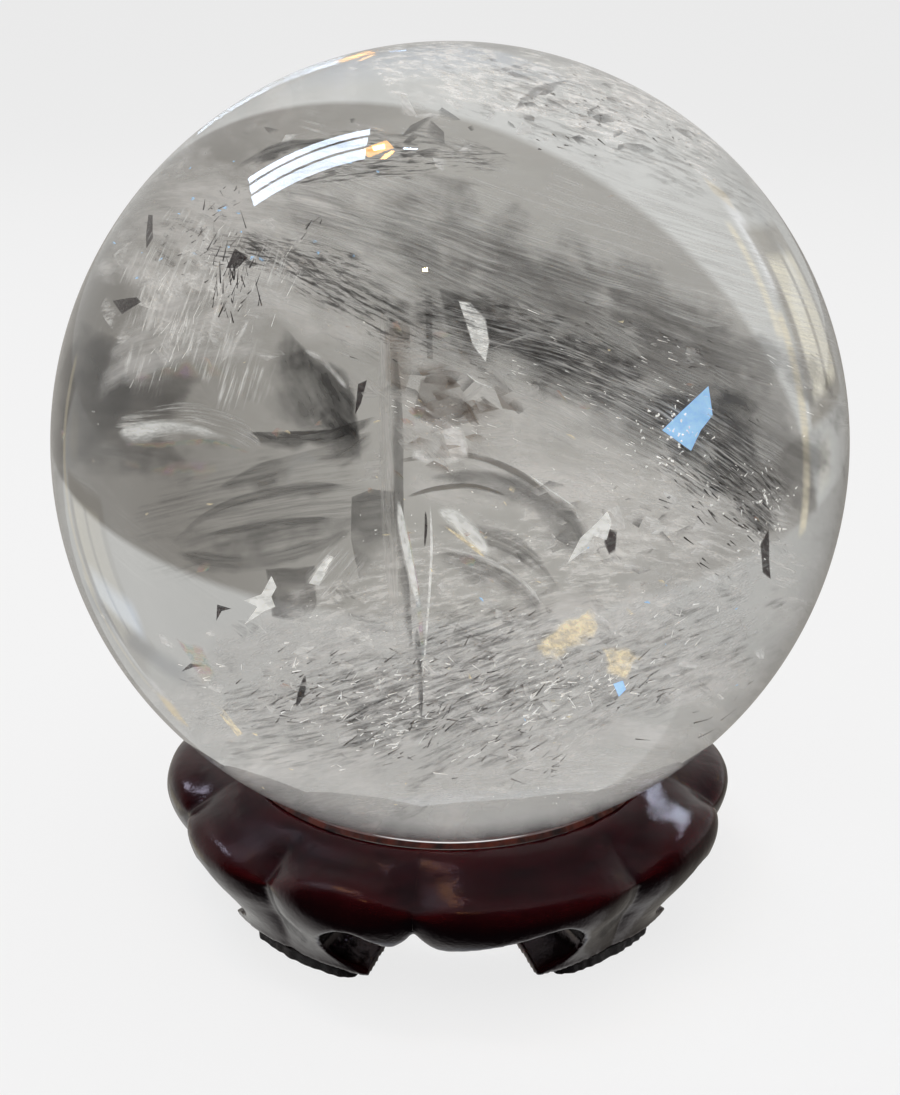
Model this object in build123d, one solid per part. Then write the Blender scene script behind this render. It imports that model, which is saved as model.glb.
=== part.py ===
from build123d import *
import os
from math import cos, radians, sin, sqrt, tan

# Crystal ball on a low carved hardwood ring stand.  Millimetres, +Z up.
# Origin: on the resting plane, under the centre of the ball.  Front is -Y.

# Driving dimensions
ball_radius = 75.0
ball_centre_z = 90.0
seat_gap = 0.25            # running gap between ball and liner, and liner and wood
liner_thickness = 1.1
liner_inner_r = 35.8       # plan radius of the liner's lower edge
liner_outer_r = 41.6       # plan radius of the liner's upper edge

bore_r = 33.5              # open middle of the ring
seat_inner_r = 35.5        # plan radii of the wood's seat
seat_outer_r = 42.0
ridge_r = 57.0             # outer top edge of the petals
ridge_z = 24.0
petal_r = 58.4             # plan outline at the middle of a petal
valley_r = 56.2            # plan outline at a groove
skirt_draw_in = 3.0        # how much the wall leans in from ridge to skirt edge
foot_base_z = 2.0          # underside of the wooden feet
foot_inner_r = 36.5
foot_outer_r = 49.6

# Bay under the ring between two feet, sized on a plane bay_plane_d from the axis
bay_plane_d = 52.0
toe_half_angle = 19.0      # from a foot's middle to the end of its toe
toe_thickness = 3.2
bite_angle = 18.0          # from a foot's middle to the middle of the round bite beside it
bite_radius = 6.0
bite_z = 10.3
bite_lip_drop = 3.2        # where the bite runs out into the scalloped lobe, below its top
lobe_sag = 3.0             # how far the lobe between bite and notch hangs, at most
lobe_sag_ratio = 0.2       # and in a narrow lobe, as a share of its width
notch_half_width = 0.7
notch_z = 16.2

groove_depth = 2.0         # top groove between two petals, at the ridge
groove_half_width = 4.6

# Azimuths are in degrees from the front, positive towards +X.  The ring is hand carved,
# so its ten grooves aren't evenly spaced.  Notches and feet take turns under them.
notch_azimuths = [-7, 73, 144, 217, 290]
foot_azimuths = [39, 109, 181, 252, 322]

dowel_radius = 2.0
dowel_length = 16.0
dowel_hole_clearance = 0.05
dowel_ring_r = 46.5
dowel_z = 20.4

pad_inner_r = 37.3
pad_outer_r = 48.8
pad_half_angle = 15.5
pad_offset_angle = 0.8     # the pads sit a little to one side under the feet
pad_corner_r = 2.0


def polar(radius, azimuth, z=0.0):
    """The point at a radius and azimuth."""
    angle = radians(azimuth)
    return Vector(radius * sin(angle), -radius * cos(angle), z)


def sphere_z(sphere_radius, radius):
    """Height of the lower half of a sphere about the ball's centre, at a plan radius."""
    return ball_centre_z - sqrt(sphere_radius**2 - radius**2)


def sphere_arc(sphere_radius, start_r, end_r):
    """Arc in the XZ plane along a sphere about the ball's centre."""
    radii = [start_r, (start_r + end_r) / 2, end_r]
    points = [(r, sphere_z(sphere_radius, r)) for r in radii]
    return ThreePointArc(*points)


def revolved(edges):
    """Solid of revolution about Z from closed edges drawn as (radius, z)."""
    profile = Plane.XZ * make_face(Wire(edges))
    return revolve(profile, Axis.Z)


# Ball and liner

def crystal_ball():
    return Pos(0, 0, ball_centre_z) * Sphere(ball_radius)


def seat_liner():
    inner_face = ball_radius + seat_gap
    outer_face = inner_face + liner_thickness
    upper = sphere_arc(inner_face, liner_inner_r, liner_outer_r)
    lower = sphere_arc(outer_face, liner_outer_r, liner_inner_r)
    edges = [upper, Line(upper @ 1, lower @ 0), lower, Line(lower @ 1, upper @ 0)]
    return revolved(edges)


# Carved ring

def ring_profile_edges():
    """Section of the ring through a foot: seat, top, bulging wall, foot and bore."""
    wood_seat = ball_radius + liner_thickness + 2 * seat_gap
    seat = sphere_arc(wood_seat, seat_inner_r, seat_outer_r)
    lip = seat @ 1
    top = ThreePointArc(lip, ((lip.X + ridge_r) / 2, ridge_z + 0.3), (ridge_r, ridge_z))
    wall = ThreePointArc((ridge_r, ridge_z), (petal_r, 19.5), (petal_r - skirt_draw_in, 12.4))
    foot_front = ThreePointArc(wall @ 1, (51.4, 7.6), (foot_outer_r, foot_base_z))
    sole = Line(foot_front @ 1, (foot_inner_r, foot_base_z))
    foot_back = ThreePointArc(sole @ 1, (bore_r + 0.9, 7.0), (bore_r, 12.0))
    bore = Line(foot_back @ 1, (bore_r, 20.4))
    edge = Line(bore @ 1, seat @ 0)
    return [seat, top, wall, foot_front, sole, foot_back, bore, edge]


def lobed_outline(z, shrink):
    """Plan outline at one height: one arc for each petal."""
    grooves = sorted(notch_azimuths + foot_azimuths)
    edges = []
    for start, end in zip(grooves, grooves[1:] + [grooves[0] + 360]):
        edges.append(
            ThreePointArc(
                polar(valley_r - shrink, start, z),
                polar(petal_r - shrink, (start + end) / 2, z),
                polar(valley_r - shrink, end, z),
            )
        )
    return Wire(edges)


def petal_cutter():
    """Everything inside the petals' outline, drawn in a little towards the skirt."""
    low = lobed_outline(-1.0, skirt_draw_in)
    high = lobed_outline(30.0, 0.0)
    return Solid.make_loft([low, high], ruled=True)


def top_groove(azimuth):
    """Tapering round-bottomed groove that deepens from the seat's lip to the ridge."""
    start_r, end_r = seat_outer_r + 1.5, petal_r + 4.0
    cone = Cone(0.2, groove_half_width, end_r - start_r)
    direction = polar(1.0, azimuth)
    middle = polar((start_r + end_r) / 2, azimuth, ridge_z + groove_half_width - groove_depth)
    return Plane(origin=middle, x_dir=(0, 0, 1), z_dir=direction) * cone


def bay_wire(left_foot, notch, right_foot, distance):
    """Outline of the bay between two feet, on a plane square to its middle."""
    middle = (left_foot + right_foot) / 2
    scale = distance / bay_plane_d
    plane = Plane(origin=polar(distance, middle), x_dir=polar(1.0, middle + 90),
                  z_dir=polar(1.0, middle))

    def place(azimuth, across, z):
        x = bay_plane_d * tan(radians(azimuth - middle)) + across
        return plane.from_local_coords(Vector(x * scale, z, 0))

    def half(foot, side):
        """Edges from the toe's lower corner up to the notch; side is towards the foot."""
        toe = foot - side * toe_half_angle
        bite = foot - side * bite_angle
        lip_z = bite_z + bite_radius - bite_lip_drop
        lip_across = -side * sqrt(bite_radius**2 - (lip_z - bite_z) ** 2)
        bite_low = place(bite, 0, bite_z - bite_radius)
        bite_lip = place(bite, lip_across, lip_z)
        notch_edge = place(notch, side * notch_half_width, notch_z)
        sag = min(lobe_sag, lobe_sag_ratio * (notch_edge - bite_lip).length / scale)
        lobe = place((bite + notch) / 2, lip_across / 2, (lip_z + notch_z) / 2 - sag)
        return [
            Line(place(toe, 0, -1.0), place(toe, 0, toe_thickness)),
            Line(place(toe, 0, toe_thickness), bite_low),
            Spline(bite_low, place(bite, side * bite_radius, bite_z),
                   place(bite, 0, bite_z + bite_radius), bite_lip),
            ThreePointArc(bite_lip, lobe, notch_edge),
        ]

    right, left = half(right_foot, 1), half(left_foot, -1)
    roof = Line(right[-1] @ 1, left[-1] @ 1)
    base = Line(left[0] @ 0, right[0] @ 0)
    return Wire(right + [roof] + left[::-1] + [base])


def bay_cutter(left_foot, notch, right_foot):
    """Radial cutter for one bay: straight lines from the axis outwards."""
    ends = [bay_wire(left_foot, notch, right_foot, distance) for distance in (27.0, 64.0)]
    return Solid.make_loft(ends, ruled=True)


def dowel_axis_plane(azimuth):
    """Plane whose normal runs square through a glued joint."""
    return Plane(origin=polar(dowel_ring_r, azimuth, dowel_z), z_dir=polar(1.0, azimuth + 90))


def joint_dowel(azimuth):
    dowel = chamfer(Cylinder(dowel_radius, dowel_length).edges(), 0.4)
    return dowel_axis_plane(azimuth) * dowel


def dowel_hole(azimuth):
    hole = Cylinder(dowel_radius + dowel_hole_clearance, dowel_length + 1.0)
    return dowel_axis_plane(azimuth) * hole


def carved_ring():
    ring = revolved(ring_profile_edges()) & petal_cutter()
    for azimuth in notch_azimuths + foot_azimuths:
        ring -= top_groove(azimuth)
    left_feet = [foot_azimuths[-1] - 360] + foot_azimuths[:-1]
    for left_foot, notch, right_foot in zip(left_feet, notch_azimuths, foot_azimuths):
        ring -= bay_cutter(left_foot, notch, right_foot)
        ring -= dowel_hole(notch)
    return ring


def sector_wedge(start, end):
    """Upright wedge between two joint planes that meet on the axis."""
    reach = 100.0
    corners = [Vector(0, 0, -5), polar(reach, start, -5), polar(1.4 * reach, (start + end) / 2, -5),
               polar(reach, end, -5)]
    return extrude(make_face(Polyline(*corners, close=True)), amount=50, dir=(0, 0, 1))


def ring_sectors():
    """The ring split at its five glued joints, each sector with a foot in its middle."""
    ring = carved_ring()
    ends = notch_azimuths[1:] + [notch_azimuths[0] + 360]
    return [ring & sector_wedge(start, end) for start, end in zip(notch_azimuths, ends)]


# Feet

def foot_pad(azimuth):
    """Thin felt pad with rounded corners, glued under a foot."""
    middle = azimuth + pad_offset_angle
    start, end = middle - pad_half_angle, middle + pad_half_angle
    edges = [
        ThreePointArc(polar(pad_outer_r, start), polar(pad_outer_r, middle), polar(pad_outer_r, end)),
        Line(polar(pad_outer_r, end), polar(pad_inner_r, end)),
        ThreePointArc(polar(pad_inner_r, end), polar(pad_inner_r, middle), polar(pad_inner_r, start)),
        Line(polar(pad_inner_r, start), polar(pad_outer_r, start)),
    ]
    pad = extrude(make_face(Wire(edges)), amount=foot_base_z, dir=(0, 0, 1))
    return fillet(pad.edges().filter_by(Axis.Z), pad_corner_r)


def all_parts():
    parts = {"crystal_ball": crystal_ball(), "seat_liner": seat_liner()}
    for index, sector in enumerate(ring_sectors(), 1):
        parts[f"ring_sector_{index}"] = sector
    for index, azimuth in enumerate(notch_azimuths, 1):
        parts[f"joint_dowel_{index}"] = joint_dowel(azimuth)
    for index, azimuth in enumerate(foot_azimuths, 1):
        parts[f"foot_pad_{index}"] = foot_pad(azimuth)
    return parts


os.makedirs("parts", exist_ok=True)
for name, shape in all_parts().items():
    export_step(shape, f"parts/{name}.step")
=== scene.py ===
import math
import random

import bmesh
import bpy
from mathutils import Matrix, Vector, noise


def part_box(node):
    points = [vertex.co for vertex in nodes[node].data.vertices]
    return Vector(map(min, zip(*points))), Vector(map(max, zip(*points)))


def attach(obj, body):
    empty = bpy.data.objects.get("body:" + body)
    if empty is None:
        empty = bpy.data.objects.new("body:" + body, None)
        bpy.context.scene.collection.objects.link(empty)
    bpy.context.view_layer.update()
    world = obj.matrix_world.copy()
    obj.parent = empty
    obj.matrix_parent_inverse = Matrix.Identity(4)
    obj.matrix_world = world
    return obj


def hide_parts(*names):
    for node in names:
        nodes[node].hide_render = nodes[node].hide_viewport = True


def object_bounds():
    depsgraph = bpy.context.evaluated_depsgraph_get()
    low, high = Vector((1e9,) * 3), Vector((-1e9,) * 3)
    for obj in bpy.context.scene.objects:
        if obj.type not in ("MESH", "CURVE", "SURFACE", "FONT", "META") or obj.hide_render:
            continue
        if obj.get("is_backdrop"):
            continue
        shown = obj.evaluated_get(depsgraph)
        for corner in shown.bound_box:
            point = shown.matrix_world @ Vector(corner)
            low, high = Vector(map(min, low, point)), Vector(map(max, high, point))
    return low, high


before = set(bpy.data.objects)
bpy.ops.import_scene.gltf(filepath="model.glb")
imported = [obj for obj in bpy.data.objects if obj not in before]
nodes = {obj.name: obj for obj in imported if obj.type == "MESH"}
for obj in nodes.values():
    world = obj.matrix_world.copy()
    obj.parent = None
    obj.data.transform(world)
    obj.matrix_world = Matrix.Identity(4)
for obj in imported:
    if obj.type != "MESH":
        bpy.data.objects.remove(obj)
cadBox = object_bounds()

mm = 0.001  # the frame is in metres, and the sizes below are in millimetres
scene = bpy.context.scene


# small tools

def linearColour(code):  # sRGB hex to the linear values that shaders take
    parts = [int(code[i:i + 2], 16) / 255 for i in (1, 3, 5)]
    return [c / 12.92 if c <= 0.04045 else ((c + 0.055) / 1.055) ** 2.4 for c in parts] + [1.0]


def addNode(tree, kind, inputs=None, stops=None, **settings):
    node = tree.nodes.new("ShaderNode" + kind)
    for name, value in settings.items():
        setattr(node, name, value)
    for name, value in (inputs or {}).items():
        if isinstance(value, bpy.types.NodeSocket):
            tree.links.new(value, node.inputs[name])
        elif isinstance(value, str):
            node.inputs[name].default_value = linearColour(value)
        else:
            node.inputs[name].default_value = value
    for number, (place, value) in enumerate(stops or []):  # a ramp starts with two stops of its own
        ramp = node.color_ramp
        stop = ramp.elements[number] if number < 2 else ramp.elements.new(place)
        stop.position = place
        stop.color = linearColour(value) if isinstance(value, str) else [value] * 3 + [1.0]
    return node


def newMaterial(name):  # a material with only its output, and that output
    material = bpy.data.materials.new(name)
    material.use_nodes = True
    material.node_tree.nodes.clear()
    return material, material.node_tree, addNode(material.node_tree, "OutputMaterial")


def smoothLine(points, steps, closed):  # rounded line through a few given points
    count = len(points)
    spans = count if closed else count - 1
    line = []
    for i in range(spans):
        if closed:
            a, b, c, d = [points[(i + k) % count] for k in (-1, 0, 1, 2)]
        else:
            a, b, c, d = [points[min(max(i + k, 0), count - 1)] for k in (-1, 0, 1, 2)]
        for k in range(steps):
            t = k / steps
            line.append([0.5 * (2 * q + (r - p) * t + (2 * p - 5 * q + 4 * r - s) * t * t
                                + (3 * q - p - 3 * r + s) * t ** 3)
                         for p, q, r, s in zip(a, b, c, d)])
    if not closed:
        line.append(list(points[-1]))
    return line


def clamp(value, low=0.0, high=1.0):
    return max(low, min(high, value))


def ease(value, low, high):  # 0 below low, 1 above high, smooth between
    t = clamp((value - low) / (high - low))
    return t * t * (3 - 2 * t)


def polar(radius, azimuth, z):  # azimuth in degrees from the front, positive towards +X
    angle = math.radians(azimuth)
    return Vector((radius * math.sin(angle), -radius * math.cos(angle), z))


def azimuthOf(point):
    return math.degrees(math.atan2(point.x, -point.y))


def toObject(name, bm, material=None, smooth=True):
    mesh = bpy.data.meshes.new(name)
    for face in bm.faces:
        face.smooth = smooth
    bm.to_mesh(mesh)
    bm.free()
    obj = bpy.data.objects.new(name, mesh)
    scene.collection.objects.link(obj)
    if material:
        mesh.materials.append(material)
    return obj


def keepSharp(bm, degrees):  # cut edges stay crisp and the rest is shaded smooth
    for edge in bm.edges:
        edge.smooth = len(edge.link_faces) == 2 and edge.calc_face_angle(0) < math.radians(degrees)


def applied(obj):  # the mesh with its modifiers applied, as a new bmesh
    graph = bpy.context.evaluated_depsgraph_get()
    mesh = bpy.data.meshes.new_from_object(obj.evaluated_get(graph))
    bm = bmesh.new()
    bm.from_mesh(mesh)
    bpy.data.meshes.remove(mesh)
    bpy.data.objects.remove(obj)
    return bm


def finishPiece(obj, body):
    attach(obj, body)
    return obj


# places that come from the frame

ballLow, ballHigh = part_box("crystal_ball")
ballRadius = (ballHigh[2] - ballLow[2]) / 2
ballCentre = Vector((0, 0, (ballLow[2] + ballHigh[2]) / 2))
ballMm = ballRadius / mm
ballZ = ballCentre.z / mm
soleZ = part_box("foot_pad_1")[1][2] / mm
print("frame read: ball radius", round(ballMm, 2), "mm")


# rosewood: turned, carved by hand, stained dark red and lacquered.  The eye sees near-black wine
# red, lighter where the edges are rubbed, and a satin gloss with a fine orange-peel sparkle.
def rosewoodLacquer():
    material, tree, out = newMaterial("rosewood carved stained lacquered")
    place = addNode(tree, "TexCoord").outputs["Object"]
    grainMm, clotMm, peelMm = 0.9, 14.0, 0.55
    long = addNode(tree, "Mapping", {"Vector": place, "Scale": (1.0, 1.0, 6.0)})
    grain = addNode(tree, "TexNoise", {"Vector": long.outputs[0], "Scale": 1 / (grainMm * 6 * mm),
                                       "Detail": 6.0, "Roughness": 0.6})
    clots = addNode(tree, "TexNoise", {"Vector": place, "Scale": 1 / (clotMm * mm), "Detail": 3.0})
    stain = addNode(tree, "ValToRGB", {"Fac": clots.outputs["Fac"]},
                    stops=[(0.34, "#090204"), (0.66, "#1e0408")])
    veins = addNode(tree, "ValToRGB", {"Fac": grain.outputs["Fac"]},
                    stops=[(0.38, "#070203"), (0.62, "#250509")])
    wood = addNode(tree, "Mix", {0: 0.4, 6: stain.outputs[0], 7: veins.outputs[0]}, data_type="RGBA")
    wear = addNode(tree, "Attribute", attribute_name="edgeWear")
    rubbed = addNode(tree, "Math", {0: wear.outputs["Fac"], 1: clots.outputs["Fac"]},
                     operation="MULTIPLY")
    colour = addNode(tree, "Mix", {0: rubbed.outputs[0], 6: wood.outputs[2], 7: "#420b0b"},
                     data_type="RGBA")
    peel = addNode(tree, "TexNoise", {"Vector": place, "Scale": 1 / (peelMm * mm), "Detail": 2.0})
    waves = addNode(tree, "TexNoise", {"Vector": place, "Scale": 1 / (4.5 * mm), "Detail": 2.0})
    fine = addNode(tree, "Bump", {"Height": peel.outputs["Fac"], "Strength": 0.85,
                                  "Distance": 0.05 * mm})
    bump = addNode(tree, "Bump", {"Height": waves.outputs["Fac"], "Strength": 0.5,
                                  "Distance": 0.35 * mm, "Normal": fine.outputs[0]})
    rough = addNode(tree, "MapRange", {"Value": clots.outputs["Fac"], "To Min": 0.11, "To Max": 0.21})
    shader = addNode(tree, "BsdfPrincipled", {
        "Base Color": colour.outputs[2], "Roughness": rough.outputs[0], "IOR": 1.42,
        "Specular Tint": "#e3c4cf",
        "Normal": bump.outputs[0], "Coat Weight": 0.15, "Coat Roughness": 0.14,
        "Coat Normal": bump.outputs[0]})
    tree.links.new(shader.outputs[0], out.inputs[0])
    return material


# split leather: a thin hand-cut band.  The eye sees dull orange-brown with a dark cracked edge.
def splitLeather():
    material, tree, out = newMaterial("split leather hand cut")
    place = addNode(tree, "TexCoord").outputs["Object"]
    pores = addNode(tree, "TexVoronoi", {"Vector": place, "Scale": 1 / (0.7 * mm)})
    tone = addNode(tree, "TexNoise", {"Vector": place, "Scale": 1 / (3.0 * mm), "Detail": 4.0})
    colour = addNode(tree, "ValToRGB", {"Fac": tone.outputs["Fac"]},
                     stops=[(0.36, "#170807"), (0.62, "#542216")])
    bump = addNode(tree, "Bump", {"Height": pores.outputs["Distance"], "Strength": 0.6,
                                  "Distance": 0.15 * mm})
    shader = addNode(tree, "BsdfPrincipled", {
        "Base Color": colour.outputs[0], "Roughness": 0.72, "Normal": bump.outputs[0],
        "Sheen Weight": 0.15})
    tree.links.new(shader.outputs[0], out.inputs[0])
    return material


# wool felt: pressed, die cut and glued.  The eye sees a soft dull black-brown with stray fibres.
def woolFelt():
    material, tree, out = newMaterial("wool felt pressed")
    place = addNode(tree, "TexCoord").outputs["Object"]
    fibre = addNode(tree, "TexNoise", {"Vector": place, "Scale": 1 / (0.4 * mm), "Detail": 8.0,
                                       "Distortion": 2.0})
    colour = addNode(tree, "ValToRGB", {"Fac": fibre.outputs["Fac"]},
                     stops=[(0.35, "#0c0708"), (0.68, "#2c1a1b")])
    bump = addNode(tree, "Bump", {"Height": fibre.outputs["Fac"], "Strength": 0.9,
                                  "Distance": 0.3 * mm})
    shader = addNode(tree, "BsdfPrincipled", {
        "Base Color": colour.outputs[0], "Roughness": 0.95, "Normal": bump.outputs[0],
        "Sheen Weight": 0.5, "Sheen Roughness": 0.5})
    tree.links.new(shader.outputs[0], out.inputs[0])
    return material


# beech: turned dowel rod, left bare.  The eye sees pale straw wood with short dark flecks.
def beechDowel():
    material, tree, out = newMaterial("beech turned bare")
    place = addNode(tree, "TexCoord").outputs["Object"]
    flecks = addNode(tree, "TexNoise", {"Vector": place, "Scale": 1 / (0.8 * mm), "Detail": 5.0})
    colour = addNode(tree, "ValToRGB", {"Fac": flecks.outputs["Fac"]},
                     stops=[(0.35, "#9c7247"), (0.6, "#cda673")])
    shader = addNode(tree, "BsdfPrincipled", {"Base Color": colour.outputs[0], "Roughness": 0.6})
    tree.links.new(shader.outputs[0], out.inputs[0])
    return material


# ring stand: turned ring with ten hand-carved petals over five feet

stand = {
    "grooves": [-38, -7, 39, 73, 109, 144, 181, 217, 252, 290],
    "notches": [-7, 73, 144, 217, 290],
    "feet": [39, 109, 181, 252, 322],
    "crest": 58.4,            # plan radius at the middle of a petal
    "valley": 56.3,           # and at a groove
    "crestSpread": 0.6,       # hand-carved difference between petals
    "grooveDepth": 2.7,       # soft valley between two petals
    "grooveWidth": 5.4,
    "creaseDepth": 0.35,      # and the crisp line the chisel leaves in it
    "creaseWidth": 0.9,
    "bulgePower": 2.2,        # how full a petal's outline is, and how rounded its valley
    "groovePower": 1.4,
    "wallShare": 0.5,         # part of the valley that runs on down the wall
    "wave": 0.9,              # rise and fall of the petals' tops
    "dish": (0.7, 50.5, 3.5),  # shallow hollow on each top: depth, radius and half width
    "wobble": (0.35, 0.07),   # unevenness left by hand: size, and its turns per mm
    # section through a foot as radius and height: seat, petal top, wall, foot, sole, bore
    "section": [(35.6, 22.3), (38.6, 23.95), (41.4, 25.75), (42.8, 26.5), (46.5, 26.2), (51.5, 25.1),
                (55.6, 23.7), (57.4, 22.4), (58.3, 20.4), (58.2, 18.2), (57.0, 14.8), (54.4, 10.6),
                (51.6, 6.4), (50.1, 3.4), (49.4, 2.0), (43.0, 2.0), (36.8, 2.0), (35.2, 4.6),
                (33.8, 9.0), (33.5, 14.0), (33.6, 19.6)],
    "ringSteps": 360,
    "sectionSteps": 5,
    "bayInner": 26.0,
    "bayOuter": 68.0,
    "notchZ": 16.2,
    "lobeZ": 12.2,
    "archZ": 16.4,
    "voxel": 0.5,
    "sandPasses": 5,          # smoothing of the carved mesh
    "wearPasses": 12,         # smoothing that finds the proud places, and what counts as proud
    "wearDepth": 0.16,
    "sharpAngle": 40,
    "seamGap": 0.07,
}
crestRandom = random.Random(4)
crestShift = [crestRandom.uniform(-1, 1) * stand["crestSpread"] for _ in stand["grooves"]]


def petalAt(azimuth):  # petal number, 0 to 1 across it, and degrees to the nearest groove
    grooves = stand["grooves"]
    azimuth = (azimuth - grooves[0]) % 360 + grooves[0]
    for number, start in enumerate(grooves):
        end = grooves[number + 1] if number + 1 < len(grooves) else grooves[0] + 360
        if start <= azimuth < end:
            return number, (azimuth - start) / (end - start), min(azimuth - start, end - azimuth)
    return 0, 0.0, 0.0


def carvePetals(bm):
    for vert in bm.verts:
        point = vert.co / mm
        radius = math.hypot(point.x, point.y)
        azimuth = azimuthOf(point)
        number, across, degrees = petalAt(azimuth)
        bulge = 1 - abs(2 * across - 1) ** stand["bulgePower"]
        outline = stand["valley"] + (stand["crest"] + crestShift[number] - stand["valley"]) * bulge
        reach = ease(radius, 40, 58) ** 1.2
        arc = math.radians(degrees) * radius
        groove = stand["grooveDepth"] * math.exp(-(arc / stand["grooveWidth"]) ** stand["groovePower"])
        groove += stand["creaseDepth"] * math.exp(-arc / stand["creaseWidth"])
        top = ease(point.z, 19, 23.5)
        radius += reach * (outline - stand["crest"])
        z = point.z - top * ease(radius, 42.5, 55) * groove
        wall = (1 - top) * ease(point.z, 4, 12) * ease(radius, 46, 52)
        radius -= wall * stand["wallShare"] * groove
        z += top * ease(radius, 46, 56) * stand["wave"] * math.sin(3.1 * number + 2.6 * across)
        depth, middle, halfWidth = stand["dish"]
        z -= top * depth * math.exp(-((radius - middle) / halfWidth) ** 2) * bulge
        size, turns = stand["wobble"]
        radius += size * noise.noise(point * turns) * ease(radius, 43, 52)
        vert.co = polar(radius, azimuth, z) * mm


def bayOutline(leftFoot, notch, rightFoot):  # a bay's edge as azimuth and height
    points = []
    for foot, side in ((rightFoot, 1), (leftFoot, -1)):
        top = foot - side * 19.5
        low = notch + side * min(5.6, 0.42 * abs(top - notch))
        half = [(foot - side * 20.2, -3.0), (foot - side * 20.2, 1.0), (foot - side * 20.0, 2.9),
                (foot - side * 17.6, 4.2), (foot - side * 13.6, 5.6), (foot - side * 11.4, 9.0),
                (foot - side * 12.8, 13.0), (foot - side * 16.2, 15.8), (top, stand["archZ"]),
                (0.55 * top + 0.45 * low, 14.5), (low, stand["lobeZ"]), (notch + side * 1.3, 14.4)]
        points += half if side > 0 else half[::-1]
        if side > 0:
            points.append((notch, stand["notchZ"]))
    return points


def bayCutter():  # all five bays in one mesh, each with straight lines out from the axis
    bm = bmesh.new()
    feet = stand["feet"]
    for number, notch in enumerate(stand["notches"]):
        left = feet[number - 1] - (360 if number == 0 else 0)
        outline = smoothLine(bayOutline(left, notch, feet[number]), 4, True)
        inner = [bm.verts.new(polar(stand["bayInner"], a, z) * mm) for a, z in outline]
        edges = [bm.edges.new((a, b)) for a, b in zip(inner, inner[1:] + inner[:1])]
        grown = bmesh.ops.extrude_edge_only(bm, edges=edges)["geom"]
        verts = [g for g in grown if isinstance(g, bmesh.types.BMVert)]
        scale = stand["bayOuter"] / stand["bayInner"]
        bmesh.ops.scale(bm, vec=(scale, scale, 1), verts=verts)
    bmesh.ops.triangle_fill(bm, edges=[e for e in bm.edges if e.is_boundary], use_beauty=True)
    bmesh.ops.recalc_face_normals(bm, faces=bm.faces)
    return toObject("bay_cutter", bm)


def carvedRing():
    bm = bmesh.new()
    outline = smoothLine(stand["section"], stand["sectionSteps"], True)
    verts = [bm.verts.new(Vector((0, -r, z)) * mm) for r, z in outline]
    edges = [bm.edges.new((a, b)) for a, b in zip(verts, verts[1:] + verts[:1])]
    bmesh.ops.spin(bm, geom=verts + edges, axis=(0, 0, 1), cent=(0, 0, 0), angle=2 * math.pi,
                   steps=stand["ringSteps"], use_merge=True)
    bmesh.ops.remove_doubles(bm, verts=bm.verts, dist=1e-6)
    carvePetals(bm)
    bmesh.ops.recalc_face_normals(bm, faces=bm.faces)
    ring = toObject("ring_blank", bm)
    cutter = bayCutter()
    cut = ring.modifiers.new("bays", "BOOLEAN")
    cut.operation, cut.solver, cut.object = "DIFFERENCE", "EXACT", cutter
    remesh = ring.modifiers.new("remesh", "REMESH")
    remesh.mode, remesh.voxel_size = "VOXEL", stand["voxel"] * mm
    bm = applied(ring)
    bpy.data.objects.remove(cutter)
    for _ in range(stand["sandPasses"]):
        bmesh.ops.smooth_vert(bm, verts=bm.verts, factor=0.5, use_axis_x=True, use_axis_y=True,
                              use_axis_z=True)
    for vert in bm.verts:  # the soles stay flat on the pads
        if vert.co.z < (soleZ + 0.25) * mm:
            vert.co.z = soleZ * mm
    return bm


def markWear(bm):  # edgeWear is high where the carving stands proud, as rubbing leaves it
    before = [vert.co.copy() for vert in bm.verts]
    normals = [vert.normal.copy() for vert in bm.verts]
    for _ in range(stand["wearPasses"]):
        bmesh.ops.smooth_vert(bm, verts=bm.verts, factor=0.5, use_axis_x=True, use_axis_y=True,
                              use_axis_z=True)
    layer = bm.verts.layers.float.new("edgeWear")
    for vert, place, normal in zip(bm.verts, before, normals):
        vert[layer] = clamp((place - vert.co).dot(normal) / (stand["wearDepth"] * mm))
        vert.co = place


def ringSectors(bm, material):
    notches = stand["notches"]
    for number, start in enumerate(notches):
        end = notches[number + 1] if number + 1 < len(notches) else notches[0] + 360
        part = bm.copy()
        for azimuth, side in ((start, -1), (end, 1)):
            outward = polar(1, azimuth + 90 * side, 0)
            geom = part.verts[:] + part.edges[:] + part.faces[:]
            cut = bmesh.ops.bisect_plane(part, geom=geom, plane_no=outward, clear_outer=True,
                                         plane_co=-outward * stand["seamGap"] / 2 * mm)
            rim = [e for e in cut["geom_cut"] if isinstance(e, bmesh.types.BMEdge)]
            # the plane runs through the whole ring, and the other cut trims its far side
            bmesh.ops.triangle_fill(part, edges=rim, use_beauty=True, use_dissolve=False)
        bmesh.ops.recalc_face_normals(part, faces=part.faces)
        for edge in part.edges:
            if len(edge.link_faces) == 2 and edge.calc_face_angle(0) > math.radians(stand["sharpAngle"]):
                edge.smooth = False
        piece = toObject(f"rosewood_sector_{number + 1}", part, material)
        finishPiece(piece, "stand")
        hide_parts(f"ring_sector_{number + 1}")
    bm.free()


ringMesh = carvedRing()
markWear(ringMesh)
ringSectors(ringMesh, rosewoodLacquer())
print("ring stand carved")


# felt pads: thin, cut by hand, a little ragged, set in from the foot's edge

pad = {"inner": 37.4, "outer": 48.9, "halfAngle": 15.6, "shift": 0.8, "corner": 6.0, "ragged": 0.35,
       "grid": (70, 26)}


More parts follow.
